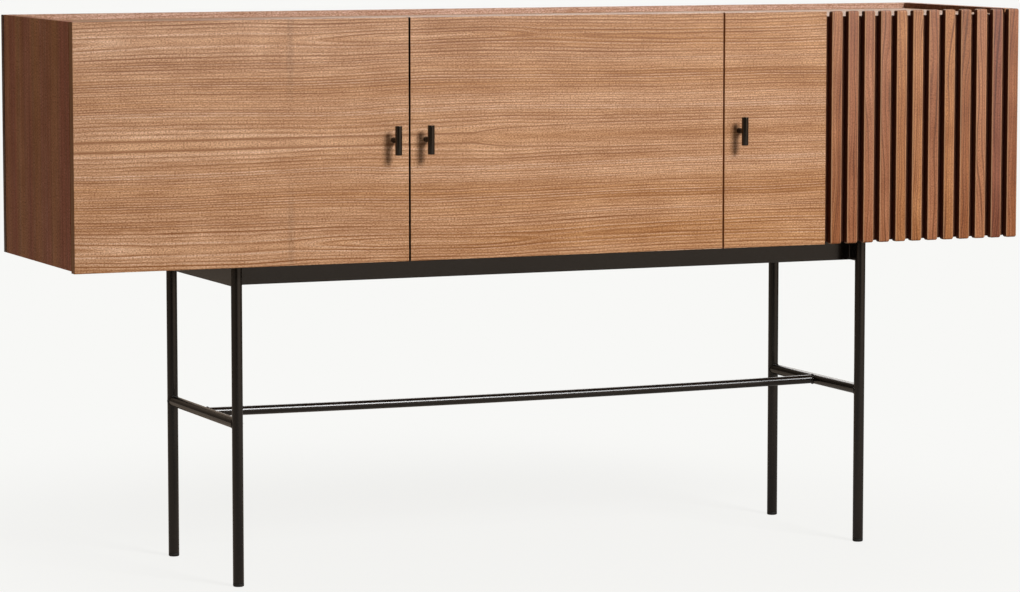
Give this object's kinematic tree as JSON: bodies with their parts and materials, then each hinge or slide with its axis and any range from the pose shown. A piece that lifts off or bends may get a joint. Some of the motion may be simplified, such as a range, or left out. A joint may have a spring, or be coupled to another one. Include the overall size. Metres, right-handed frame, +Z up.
{
  "type": "office credenza",
  "caption": "Low, wide walnut-veneered cabinet with hinged doors, upright slats on the right-hand door, and a tall slim black steel tube frame with stretchers.",
  "frame": {"origin": "on the floor, under the middle of the whole object, handles included", "axes": "+X to the right along the width as seen from the front, +Y to the rear, +Z up; the doors face -Y"},
  "size_m": [1.8, 0.442, 0.97],
  "materials": {
    "walnut_veneer": "clear satin lacquer on walnut veneer",
    "slat_walnut": "clear satin lacquer on solid walnut",
    "black_backing": "thin board stained black, matt",
    "black_steel": "satin black powder coat on steel",
    "plated_steel": "nickel-plated pressed steel",
    "glide_plastic": "black moulded plastic"
  },
  "bodies": {
    "cabinet": {"left_end": "walnut_veneer", "right_end": "walnut_veneer", "top_board": "walnut_veneer", "bottom_board": "walnut_veneer", "back_panel": "walnut_veneer", "left_divider": "walnut_veneer", "right_divider": "walnut_veneer", "left_shelf": "walnut_veneer", "middle_shelf": "walnut_veneer", "right_shelf": "walnut_veneer", "left_lower_hinge_arm": "plated_steel", "left_upper_hinge_arm": "plated_steel", "middle_lower_hinge_arm": "plated_steel", "middle_upper_hinge_arm": "plated_steel", "right_lower_hinge_arm": "plated_steel", "right_upper_hinge_arm": "plated_steel", "front_left_leg": "black_steel", "front_right_leg": "black_steel", "rear_left_leg": "black_steel", "rear_right_leg": "black_steel", "left_side_rail": "black_steel", "right_side_rail": "black_steel", "front_long_rail": "black_steel", "rear_long_rail": "black_steel", "left_stretcher": "black_steel", "right_stretcher": "black_steel", "long_stretcher": "black_steel", "front_left_glide": "glide_plastic", "front_right_glide": "glide_plastic", "rear_left_glide": "glide_plastic", "rear_right_glide": "glide_plastic"},
    "left_door": {"left_door_panel": "walnut_veneer", "left_handle_bar": "black_steel", "left_handle_post": "black_steel", "left_lower_hinge_cup": "plated_steel", "left_upper_hinge_cup": "plated_steel"},
    "middle_door": {"middle_door_panel": "walnut_veneer", "middle_handle_bar": "black_steel", "middle_handle_post": "black_steel", "middle_lower_hinge_cup": "plated_steel", "middle_upper_hinge_cup": "plated_steel"},
    "right_door": {"right_door_panel": "walnut_veneer", "right_door_backing": "black_backing", "slat_01": "slat_walnut", "slat_02": "slat_walnut", "slat_03": "slat_walnut", "slat_04": "slat_walnut", "slat_05": "slat_walnut", "slat_06": "slat_walnut", "slat_07": "slat_walnut", "slat_08": "slat_walnut", "slat_09": "slat_walnut", "slat_10": "slat_walnut", "slat_11": "slat_walnut", "slat_12": "slat_walnut", "right_handle_bar": "black_steel", "right_handle_post": "black_steel", "right_lower_hinge_plate": "plated_steel", "right_upper_hinge_plate": "plated_steel"}
  },
  "joints": [
    {"name": "left_door_hinge", "type": "hinge", "parent": "cabinet", "child": "left_door", "pos_m": [-0.9, -0.191, 0.761], "axis": [0, 0, -1], "range_deg": [0, 95]},
    {"name": "middle_door_hinge", "type": "hinge", "parent": "cabinet", "child": "middle_door", "pos_m": [0.2985, -0.191, 0.761], "axis": [0, 0, 1], "range_deg": [0, 95]},
    {"name": "right_door_hinge", "type": "hinge", "parent": "cabinet", "child": "right_door", "pos_m": [0.9, -0.191, 0.761], "axis": [0, 0, 1], "range_deg": [0, 95]}
  ]
}
